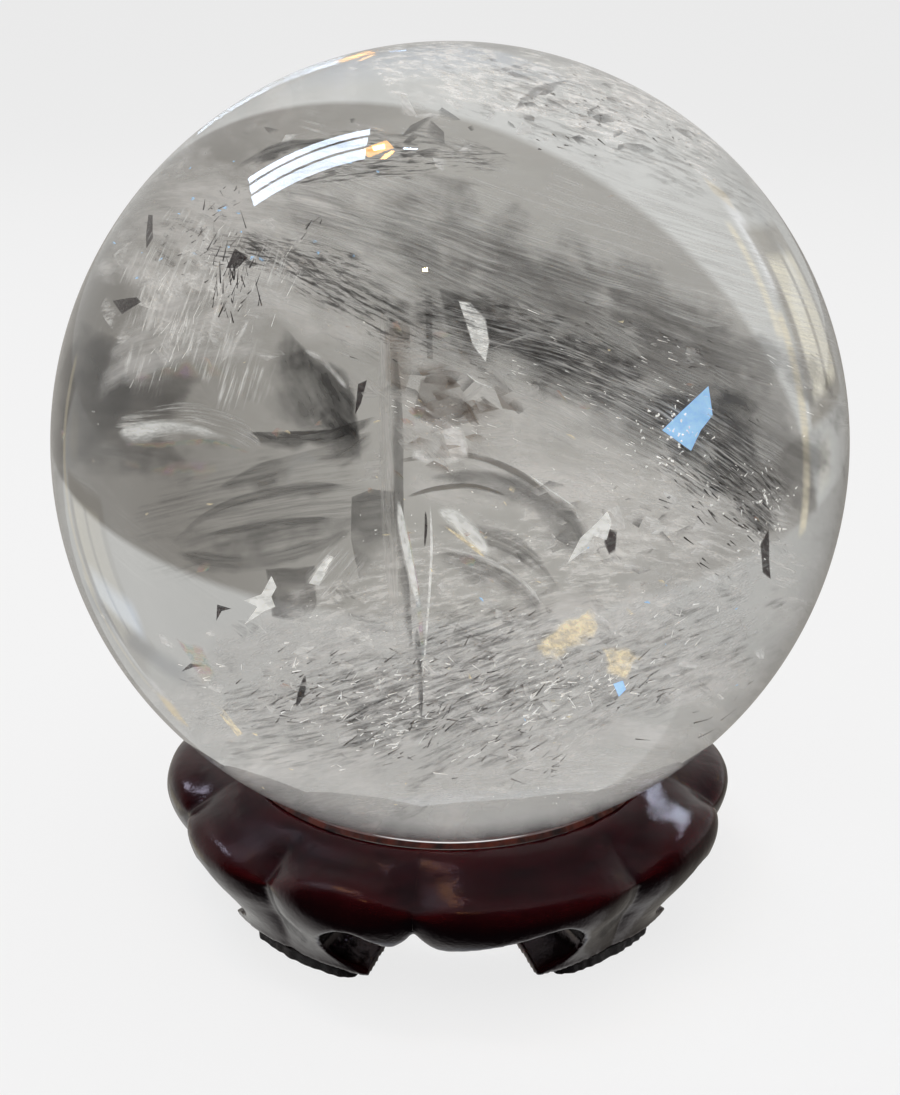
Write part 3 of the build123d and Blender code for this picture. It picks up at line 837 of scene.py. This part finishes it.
# flat facets: look, depth y, its change per mm right and up, soft rim in mm, then the outline x, z
facets = {
    "leaf_white": ("clean", -14, (0.5, 0.4), 0.4, [
        (1, 24.4), (2.6, 24), (4.8, 21.6), (5.2, 18.6), (4.7, 16.2), (2.9, 18.6)]),
    "leaf_shade": ("smoke solid", -12, (0.4, 0.1), 1.4, [
        (-1.6, 26), (2, 25), (5.6, 24), (6.6, 17), (4.8, 13), (-0.6, 17)]),
    "facet_tan": ("tan", -10, (0.6, -0.3), 0.5, [
        (-4, 13.4), (-1.2, 14.4), (2, 10.4), (4, 5.4), (-1, 4.8), (-5, 8)]),
    "facet_pale": ("glow soft", -8, (-0.3, 0.5), 0.9, [
        (-5.2, 6), (-3, 7.4), (1.8, 5), (2.8, 1.6), (-1, -0.4), (-5, 1)]),
    "facet_side": ("pale", -6, (0.3, 0.5), 0.8, [
        (2.9, 5), (8, 5.4), (9, 2.2), (6, 0), (3, 0.8)]),
    "facet_left": ("tan", -6, (0.2, 0.2), 0.6, [
        (-8.6, 17.6), (-5.6, 19), (-3.6, 14.6), (-5.8, 9), (-8.4, 11)]),
    "flake_right": ("clean", -20, (0.4, 0.4), 0.15, [
        (15.4, -9), (17, -6), (19, -4.4), (20.6, -3), (21.2, -4.4), (20.6, -6.6), (18.8, -5.8),
        (17.8, -7.6)]),
    "flake_right_shade": ("ink", -19, (0.2, 0.4), 0.6, [
        (20.6, -5), (22.0, -5.6), (21.8, -8.4), (20.8, -8.8), (20, -7)]),
    "flake_left": ("clean", -16, (0.3, 0.2), 0.1, [
        (-26.9, -15.6), (-24.5, -14.9), (-23.1, -12.6), (-22.4, -14.1), (-23.1, -15.3), (-22.6, -16.7),
        (-24.1, -17.2), (-26.9, -18.8), (-25.1, -16.6)]),
    "flake_hatch": ("clean", -16, (0.3, 0.2), 0.1, [
        (-18.4, -13.2), (-15.8, -9.6), (-15, -10), (-17, -13.6)]),
    "facet_blue_grey": ("cloud dark", -8, (0.1, 0.2), 0.6, [
        (-23.4, -13.6), (-17, -13.2), (-16.4, -18.4), (-18, -21), (-22.6, -19.6)]),
    "facet_tall": ("smoke solid", -9, (0.3, 0.1), 0.2, [
        (-12.6, -3.6), (-10, -2.8), (-7, -3.4), (-6.8, -13.8), (-11.6, -14.4), (-12.8, -9)]),
    "facet_tall_pale": ("pale", -11, (0.5, 0.1), 0.2, [
        (-5.4, 24), (-3.4, 24), (-3.2, 15), (-5, 13.4)]),
    "facet_tall_dark": ("smoke solid", -12, (0.5, 0.1), 0.1, [
        (-3.2, 24.4), (-2.4, 24.4), (-2.2, 15.4), (-3, 16)]),
    "leaf_seam": ("pale", -12, (0.3, 0.4), 0.3, [
        (-24.4, 29.2), (-20.4, 29.4), (-16.6, 28), (-19.4, 26.8), (-22.6, 27.4)]),
    "leaf_ink": ("ink", -20, (0.3, 0.2), 0.2, [(-51, 29.6), (-45, 28.6), (-44, 27.6), (-48, 26.6)]),
    "pyramid_ink": ("ink", -22, (0.3, 0.2), 0.2, [(-31.2, 33), (-30, 35.8), (-27.8, 34), (-29.4, 32.6)]),
    "cluster_ink": ("ink", -8, (0.3, 0.2), 0.2, [
        (-44, 38), (-42.8, 37.4), (-41.4, 33), (-42.4, 31.6), (-43.2, 34)]),
    "chip_ink": ("ink", -16, (0.3, 0.2), 0.1, [(-12, 13.6), (-10.8, 14), (-11.6, 11), (-12.4, 9.6)]),
    # painted reflections: the next two blue pieces stand for sky and window seen through the ball, not facets
    "painted_reflection_facet_blue": ("painted sky reflection", -20, (0.3, 0.3), 0.1, [
        (28.2, 9), (31, 11.4), (34.6, 14.2), (35.2, 10.4), (33.6, 8.6), (32.2, 6), (30.6, 7.2)]),
    "painted_glint_blue": ("painted sky reflection", -27, (0.2, 0.5), 0.2, [(22, -25), (23.4, -24.6), (24, -26), (23, -27)]),
    # painted glints: the next three warm patches stand for lamp light caught in the ball
    "painted_glint_warm": ("gold", -25, (0.2, 0.5), 1.4, [
        (11, -20), (13.2, -17), (18.6, -15), (20.2, -16.8), (18.8, -20), (13.4, -22)]),
    "painted_glint_warm_low": ("gold", -25, (0.2, 0.5), 1.0, [
        (20, -20), (23, -19.8), (26, -22), (24, -25), (21, -23.6)]),
    "painted_glint_warm_rim": ("gold", -44, (0.3, 0.2), 0.4, [
        (-37, -27), (-34.4, -28), (-31.6, -32.6), (-33, -33.4)]),
    # painted glint: a rainbow-tinted glowing patch for light caught at the rim
    "patch_iris_rim": ("iris", -40, (0.3, 0.2), 1.6, [
        (-41, -17), (-36, -18), (-33, -24), (-37, -25)]),
    "root_ink": ("ink", -14, (0.2, 0.2), 0.3, [(41, -9), (42.2, -7), (42.6, -11), (43, -14), (41.6, -13)]),
    "hook_ink": ("ink", -16, (0.2, 0.2), 0.1, [(-30.6, -18.6), (-30.4, -16.4), (-28.4, -17), (-29.8, -17.2)]),
    "hook_ink_low": ("ink", -16, (0.2, 0.2), 0.1, [(-36, -26.2), (-34.4, -24.8), (-32, -25), (-34, -25.4)]),
}
solidLooks = ("clean", "painted sky reflection", "ink")
facetRings = (0.0, 0.5, None, 1.0)  # parts of the way from middle to rim; None is where the soft rim starts

for number, (name, (look, depth, lean, soft, outline)) in enumerate(facets.items()):
    middle = [sum(p[k] for p in outline) / len(outline) for k in (0, 1)]
    rows = []
    for ring in facetRings:
        rows.append([])
        for x, z in outline + outline[:1]:
            dx, dz = x - middle[0], z - middle[1]
            clear = 1.0 if look in solidLooks else 0.72 + 0.28 * math.cos(math.atan2(dz, dx) - 1.9 * number)
            reach = ring if ring is not None else max(1 - soft / math.hypot(dx, dz), 0.55)
            dx, dz = dx * reach, dz * reach
            place = Vector((middle[0] + dx, depth + lean[0] * dx + lean[1] * dz, middle[1] + dz))
            rows[-1].append((place, dx + 0.4 * dz + 40 * number, dz, 0.0 if ring == 1.0 else clear))
    flawPiece(name, look, rows)
print("facets opened")


# swarms of small shards: look, count, middle, half size and the shards' sizes in mm
shardSwarms = {
    "shards_middle": ("pale", 26, (-1, -10, 7), (9, 5, 11), (1.6, 4.6)),
    "shards_middle_tan": ("tan", 16, (0, -8, 8), (8, 5, 9), (1.8, 4.6)),
    "shards_middle_dark": ("cloud dark", 14, (1, -6, 8), (11, 5, 11), (1.6, 4.4)),
    "shards_band": ("pale", 24, (14, -14, 14), (24, 8, 8), (0.8, 3.0)),
    "shards_right": ("glow soft", 26, (24, -14, -7), (14, 8, 7), (0.7, 2.6)),
    "shards_right_dark": ("cloud dark", 20, (22, -12, -6), (14, 8, 8), (0.8, 3.0)),
    "shards_low": ("glow soft", 70, (0, -18, -25), (34, 12, 10), (0.6, 2.8)),
    "shards_low_dark": ("haze short grey", 70, (2, -14, -25), (34, 14, 11), (0.8, 3.6)),
    "shards_left": ("haze short", 40, (-34, -12, 27), (13, 8, 10), (1.4, 6.0)),
    "shards_left_dark": ("haze short grey", 26, (-36, -10, 31), (13, 8, 8), (1.2, 4.6)),
    "shards_crown": ("glow soft", 40, (12, 6, 46), (30, 12, 6), (0.8, 3.0)),
    # painted glints: the next four swarms are tiny glowing specks that stand for sky, lamp and rainbow light
    # caught in the ball
    "glints_blue": ("painted sky reflection", 22, (-30, -8, 36), (22, 8, 12), (0.2, 0.7)),
    "glints_blue_right": ("painted sky reflection", 10, (22, -18, -14), (22, 8, 16), (0.2, 0.6)),
    "glints_gold": ("gold", 30, (4, -16, -6), (40, 14, 36), (0.3, 1.0)),
    "glints_rainbow": ("iris", 26, (-8, -14, 8), (44, 12, 34), (0.5, 2.0)),
    "shards_crown_dark": ("cloud dark", 34, (14, 4, 45), (30, 12, 6), (0.8, 3.0)),
}

for number, (name, (look, count, centre, side, sizes)) in enumerate(shardSwarms.items()):
    chance = random.Random(number + 40)
    rows = []
    for _ in range(count):
        offset = [chance.gauss(0, 0.5) * k for k in side]
        middle = Vector(centre) + Vector(offset)
        size, corners = chance.uniform(*sizes), chance.randint(4, 6)
        lean, stretch = chance.uniform(-0.8, 0.8), chance.uniform(0.35, 0.8)
        slant, bright = chance.uniform(-0.9, 0.3), chance.uniform(0, 6.3)
        ring = []
        for corner in range(corners + 1):
            angle = 2 * math.pi * (corner % corners) / corners
            reach = size * (0.75 + 0.25 * math.sin(3.7 * (corner % corners) + bright))
            along, across = reach * math.cos(angle), stretch * reach * math.sin(angle)
            x = along * math.cos(slant) - across * math.sin(slant)
            z = along * math.sin(slant) + across * math.cos(slant)
            fade = clamp(0.5 + 0.7 * math.cos(angle - bright))
            ring.append((middle + Vector((x, lean * x, z)), along + 9 * number, across, fade))
        rows.append((([(middle, 9.0 * number, 0.0, 0.5)] * (corners + 1)), ring))
    flawPiece(name, look, rows, fans=True)
print("shards scattered")


# fine needles and crumbs, each swarm one piece

# mineral speck: goethite needles and drops of gas or brine.  The eye sees fine dark or bright dashes;
# glow is painted glow, which makes the bright ones sparkle.
def mineralSpeck(name, light, dark, glow=0.0):
    material, tree, out = newMaterial(name)
    place = addNode(tree, "TexCoord").outputs["Object"]
    tone = addNode(tree, "TexNoise", {"Vector": place, "Scale": 1 / (2.0 * mm), "Detail": 2.0})
    colour = addNode(tree, "ValToRGB", {"Fac": tone.outputs["Fac"]}, stops=[(0.38, dark), (0.6, light)])
    shader = addNode(tree, "BsdfPrincipled", {
        "Base Color": colour.outputs[0], "Roughness": 0.5, "Emission Color": colour.outputs[0],
        "Emission Strength": glow})
    tree.links.new(shader.outputs[0], out.inputs[0])
    return material


specks = {
    "dark": mineralSpeck("goethite needles", "#5a5350", "#241f1e"),
    "grey": mineralSpeck("brine drops in quartz", "#a19d98", "#6f6b67"),
    # painted sparkle: the white specks glow
    "white": mineralSpeck("gas drops in quartz with painted sparkle", "#fbfaf6", "#e4e2dc", 0.7),
}

# material, clumps, needles in each, middle, half size, way, spread, length and thickness in mm
swarms = {
    "needles_low": ("dark", 24, 6, (-4, -26, -27), (30, 14, 9), (1, 0.1, 0.5), 0.6, (0.4, 2.0), (0.03, 0.1)),
    "needles_low_grey": ("grey", 30, 9, (4, -14, -28), (34, 20, 11), (1, 0.1, 0.45), 0.6, (0.6, 2.6),
                         (0.04, 0.12)),
    "needles_low_white": ("white", 30, 9, (-4, -24, -25), (32, 16, 11), (1, 0, 0.5), 0.9, (0.3, 2.0),
                          (0.04, 0.12)),
    "needles_band": ("dark", 14, 7, (12, -14, 18), (34, 10, 8), (1, 0, -0.4), 0.25, (0.4, 2.0), (0.03, 0.09)),
    "needles_band_white": ("white", 14, 8, (18, -18, 13), (32, 12, 10), (1, 0, -0.42), 0.3, (0.3, 1.8),
                           (0.02, 0.06)),
    "needles_right": ("dark", 12, 7, (36, -16, -1), (9, 8, 10), (1, 0, -0.8), 0.35, (0.6, 2.8), (0.04, 0.14)),
    "needles_fan": ("dark", 4, 13, (-29.5, -21, 30.5), (3, 3, 2), (0.1, 0, 1), 0.5, (1.4, 4.6), (0.05, 0.13)),
    "needles_left": ("dark", 9, 5, (-37, -16, 35), (12, 8, 6), (0.6, 0, 0.8), 0.9, (0.4, 2.2), (0.04, 0.12)),
    "needles_left_white": ("white", 9, 6, (-34, -16, 25), (14, 8, 10), (0.3, 0, 1), 0.4, (1.0, 4.0),
                           (0.02, 0.05)),
    "needles_crown": ("grey", 18, 8, (20, 8, 44), (28, 14, 8), (1, 0.2, -0.6), 0.6, (0.3, 1.3), (0.05, 0.14)),
    # painted sparkles: the crumbs are glowing white specks
    "crumbs": ("white", 46, 3, (10, -14, -6), (40, 26, 38), (1, 0, 0), 3.0, (0.2, 0.6), (0.03, 0.08)),
    "crumbs_sky": ("white", 5, 12, (29, -21, 7), (3, 2, 3), (1, 0, 0), 3.0, (0.3, 0.8), (0.08, 0.2)),
    "crumbs_right": ("white", 9, 8, (40, -12, -3), (4, 8, 8), (1, 0, 0), 3.0, (0.3, 0.9), (0.06, 0.2)),
}
clumpMm = 2.6


def needleSwarm(name, look, clumps, count, centre, side, way, spread, long, thick, seed):
    chance = random.Random(seed)
    bm = bmesh.new()
    way = Vector(way).normalized()
    for _ in range(clumps):
        offset = [chance.gauss(0, 0.45) for _ in range(3)]
        clump = Vector(centre) + Vector([a * b for a, b in zip(offset, side)])
        size = chance.uniform(0.5, 1.6)
        for _ in range(count):
            place = clump + way * chance.gauss(0, clumpMm) * size
            place += Vector([chance.gauss(0, 0.4 * clumpMm * size) for _ in range(3)])
            turn = way + Vector([chance.gauss(0, 0.5 * spread) for _ in range(3)])
            length = chance.uniform(*long) * chance.uniform(0.4, 1) * size ** 0.5
            radius = chance.uniform(*thick)
            if place.length > ballMm - needleSkinMm:
                continue
            matrix = turn.to_track_quat("Z", "Y").to_matrix().to_4x4()
            matrix = Matrix.Translation(ballCentre + place * mm) @ matrix
            bmesh.ops.create_cone(bm, cap_ends=True, segments=4, radius1=radius * mm,
                                  radius2=0.3 * radius * mm, depth=length * mm, matrix=matrix)
    finishPiece(toObject(name, bm, specks[look], smooth=False), "ball")


for number, (name, swarm) in enumerate(swarms.items()):
    needleSwarm(name, *swarm, number + 11)
print("needles scattered")


# studio: opal floor and curved backdrop, seen by the camera only, in a plain room of light

studio = {"floor": 1.5, "cove": 0.7, "wall": 2.6, "sheet": "#5c5c5c", "paper": "#f6f6f6", "glow": 0.86,
          "lampDistance": 1.3}


def studioFloor():
    material, tree, out = newMaterial("opal acrylic lit from below")
    shader = addNode(tree, "BsdfPrincipled", {
        "Base Color": studio["sheet"], "Roughness": 0.9, "Specular IOR Level": 0.0,
        "Emission Color": studio["paper"], "Emission Strength": studio["glow"]})
    tree.links.new(shader.outputs[0], out.inputs[0])
    bm = bmesh.new()
    flat, cove = studio["floor"], studio["cove"]
    line = [(0.0, 0.0), (flat, 0.0)]
    for k in range(1, 9):
        turn = math.radians(k * 90 / 8)
        line.append((flat + cove * math.sin(turn), cove * (1 - math.cos(turn))))
    line.append((flat + cove, studio["wall"]))
    verts = [bm.verts.new((0, -r, z)) for r, z in line]
    edges = [bm.edges.new((a, b)) for a, b in zip(verts, verts[1:])]
    bmesh.ops.spin(bm, geom=verts + edges, axis=(0, 0, 1), cent=(0, 0, 0), angle=2 * math.pi,
                   steps=96, use_merge=True)
    bmesh.ops.remove_doubles(bm, verts=bm.verts, dist=1e-5)
    floor = toObject("studio_floor", bm, material)
    # glass, gloss and bounced light meet the room instead
    floor.visible_glossy = False
    floor.visible_transmission = False
    floor.visible_diffuse = False
    floor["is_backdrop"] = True


# patches of the room seen in the ball: turn from straight back towards +X in degrees, height as the
# z of the direction, soft edge, how much it covers and its colour; later ones lie over earlier ones
roomPatches = {
    "window_white": ((-50, -45.5), (-0.66, -0.5), 0.02, 1.0, "#ffffff"),
    "window_bar": ((-43.5, -41.5), (-0.62, -0.42), 0.01, 0.9, "#fbf3df"),
    "window_shade": ((-50, -46), (-0.5, -0.3), 0.015, 0.5, "#a9a59d"),
    "window_frame": ((-70, -47.5), (-0.62, -0.24), 0.012, 0.7, "#a29b8f"),
    "window_cream": ((-67, -50), (-0.56, -0.29), 0.012, 0.95, "#fff8e4"),
    "window_mullion": ((-59.5, -57.5), (-0.56, -0.29), 0.008, 0.7, "#9a9285"),
    "post_cream": ((-46, -43.6), (-0.46, -0.04), 0.01, 0.9, "#f4ead2"),
    "post_pale": ((-56, -50), (-0.2, -0.1), 0.02, 0.6, "#f3efe4"),
    "ceiling_blue": ((-40, 60), (-1.1, -0.93), 0.05, 0.5, "#dfeafa"),
    "lamp_gold": ((41, 45), (0.37, 0.45), 0.01, 0.9, "#ffdf9a"),
    "sill_blue": ((38, 52), (0.08, 0.16), 0.02, 0.6, "#e9f2ff"),
    "sill_shade": ((30, 60), (0.17, 0.24), 0.02, 0.5, "#8f9194"),
    "shelf_milk": ((-50, 10), (0.5, 0.74), 0.12, 0.5, "#efede8"),
}


def between(tree, value, low, high, soft):
    rise = addNode(tree, "MapRange", {"Value": value, "From Min": low - soft, "From Max": low + soft},
                   clamp=True)
    fall = addNode(tree, "MapRange", {"Value": value, "From Min": high + soft, "From Max": high - soft},
                   clamp=True)
    return addNode(tree, "Math", {0: rise.outputs[0], 1: fall.outputs[0]}, operation="MULTIPLY").outputs[0]


def blend(tree, part, first, second):
    return addNode(tree, "Mix", {0: part, 6: first, 7: second}, data_type="RGBA").outputs[2]


def roomLight():  # the world that gloss and glass see: grey table, pale wall, dimmer front
    world = bpy.data.worlds.new("room")
    scene.world = world
    world.use_nodes = True
    tree = world.node_tree
    tree.nodes.clear()
    way = addNode(tree, "TexCoord").outputs["Generated"]
    split = addNode(tree, "SeparateXYZ", {0: way})
    across, back, up = split.outputs
    turn = addNode(tree, "Math", {0: across, 1: back}, operation="ARCTAN2").outputs[0]
    tableEdge = addNode(tree, "VectorMath", {0: way, 1: (0.518, 0.673, 0.527)}, operation="DOT_PRODUCT")
    onTable = between(tree, tableEdge.outputs["Value"], 0.0, 2.0, 0.012)
    side = addNode(tree, "MapRange", {"Value": across, "From Min": -1.0})
    table = addNode(tree, "ValToRGB", {"Fac": side.outputs[0]},
                    stops=[(0.3, "#aeaba6"), (0.9, "#7d7973"), (0.5, "#b3b0aa"), (0.72, "#8f8b85")])
    floor = blend(tree, onTable, "#dededb", table.outputs[0])
    height = addNode(tree, "MapRange", {"Value": up, "From Min": -1.0})
    wall = addNode(tree, "ValToRGB", {"Fac": height.outputs[0]},
                   stops=[(0.0, "#c9c8c4"), (1.0, "#77777c"), (0.54, "#c8c7c4"), (0.7, "#c0beba")])
    above = between(tree, up, -0.068, 2.0, 0.008)
    room = blend(tree, above, floor, wall.outputs[0])
    for turns, heights, soft, amount, colour in roomPatches.values():
        inTurn = between(tree, turn, math.radians(turns[0]), math.radians(turns[1]), soft)
        inHeight = between(tree, up, heights[0], heights[1], soft)
        both = addNode(tree, "Math", {0: inTurn, 1: inHeight}, operation="MULTIPLY")
        part = addNode(tree, "Math", {0: both.outputs[0], 1: amount}, operation="MULTIPLY")
        room = blend(tree, part.outputs[0], room, colour)
    facing = addNode(tree, "MapRange", {"Value": back, "From Min": -0.25, "From Max": 0.15}, clamp=True)
    room = blend(tree, facing.outputs[0], "#2b2b2f", room)
    light = addNode(tree, "Background", {"Color": room, "Strength": 1.0})
    out = addNode(tree, "OutputWorld")
    tree.links.new(light.outputs[0], out.inputs[0])


# along is the lamp's long side; a soft lamp lights the pieces but isn't seen in glass or gloss
def areaLight(name, direction, along, size, watts, colour, soft=False):
    data = bpy.data.lights.new(name, "AREA")
    data.shape = "RECTANGLE"
    data.size, data.size_y = size
    data.energy = watts
    data.color = linearColour(colour)[:3]
    away = Vector(direction).normalized()
    long = (Vector(along) - away * away.dot(along)).normalized()
    lamp = bpy.data.objects.new(name, data)
    turned = Matrix((long, away.cross(long), away)).transposed().to_4x4()
    lamp.matrix_world = Matrix.Translation(ballCentre + away * studio["lampDistance"]) @ turned
    lamp.visible_glossy = not soft
    lamp.visible_transmission = not soft
    scene.collection.objects.link(lamp)


# window seen in the ball: its panes as shift across and height in metres
window = {"middle": (-0.435, 0.29, 0.82), "along": (0.35, -0.015, 0.19), "across": (0.04, 0.195, -0.04),
          "width": 0.53, "panes": ((-0.32, 0.088), (0.06, 0.076), (0.375, 0.054)),
          "wattsPerHeight": 21, "colour": "#dcebff"}
# small lamps: direction, the way of the long side, size in metres, watts and colour
lamps = {
    "warm_lamp_left": ((-0.23, 0.24, 0.94), (1, 0, 0), (0.05, 0.04), 0.6, "#ffc36e"),
    "warm_glow_left": ((-0.235, 0.235, 0.94), (1, 0.3, 0), (0.12, 0.085), 0.42, "#ffb24c"),
    "warm_lamp_left_low": ((-0.205, 0.18, 0.95), (1, 1, 0), (0.07, 0.022), 0.22, "#ffb95c"),
    "cool_lamp_left": ((-0.13, 0.2, 0.97), (1, -0.4, 0), (0.06, 0.012), 0.2, "#b0d0ff"),
    "warm_lamp_front": ((-0.1, -0.45, 0.89), (1, 0, 0), (0.03, 0.025), 0.35, "#ffd08a"),
}

studioFloor()
roomLight()
areaLight("overhead_softbox", (0, -0.2, 1), (1, 0, 0), (1.6, 1.6), 17, "#ffffff", soft=True)
for pane, (shift, height) in enumerate(window["panes"], 1):
    middle = Vector(window["middle"]) + Vector(window["across"]) * shift
    areaLight(f"window_pane_{pane}", middle, window["along"], (window["width"], height),
              window["wattsPerHeight"] * height, window["colour"])
for name, lamp in lamps.items():
    areaLight(name, *lamp)
print("studio lit")


# camera: a 50 mm lens close above the front

camera = {"lens": 50.8, "distance": 300.0, "elevation": 17.0, "pitch": 20.68}
cameraData = bpy.data.cameras.new("camera")
cameraData.lens = camera["lens"]
cameraObject = bpy.data.objects.new("camera", cameraData)
raised = math.radians(camera["elevation"])
towards = Vector((0, -math.cos(raised), math.sin(raised)))
cameraObject.location = ballCentre + towards * camera["distance"] * mm
cameraObject.rotation_euler = (math.radians(90 - camera["pitch"]), 0, 0)
scene.collection.objects.link(cameraObject)
scene.camera = cameraObject
scene.view_settings.view_transform = "Standard"
scene.cycles.transparent_max_bounces = 48
scene.cycles.max_bounces = 16
scene.cycles.transmission_bounces = 12

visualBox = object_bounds()
sizes = {"cad": [list(corner) for corner in cadBox], "visual": [list(corner) for corner in visualBox]}
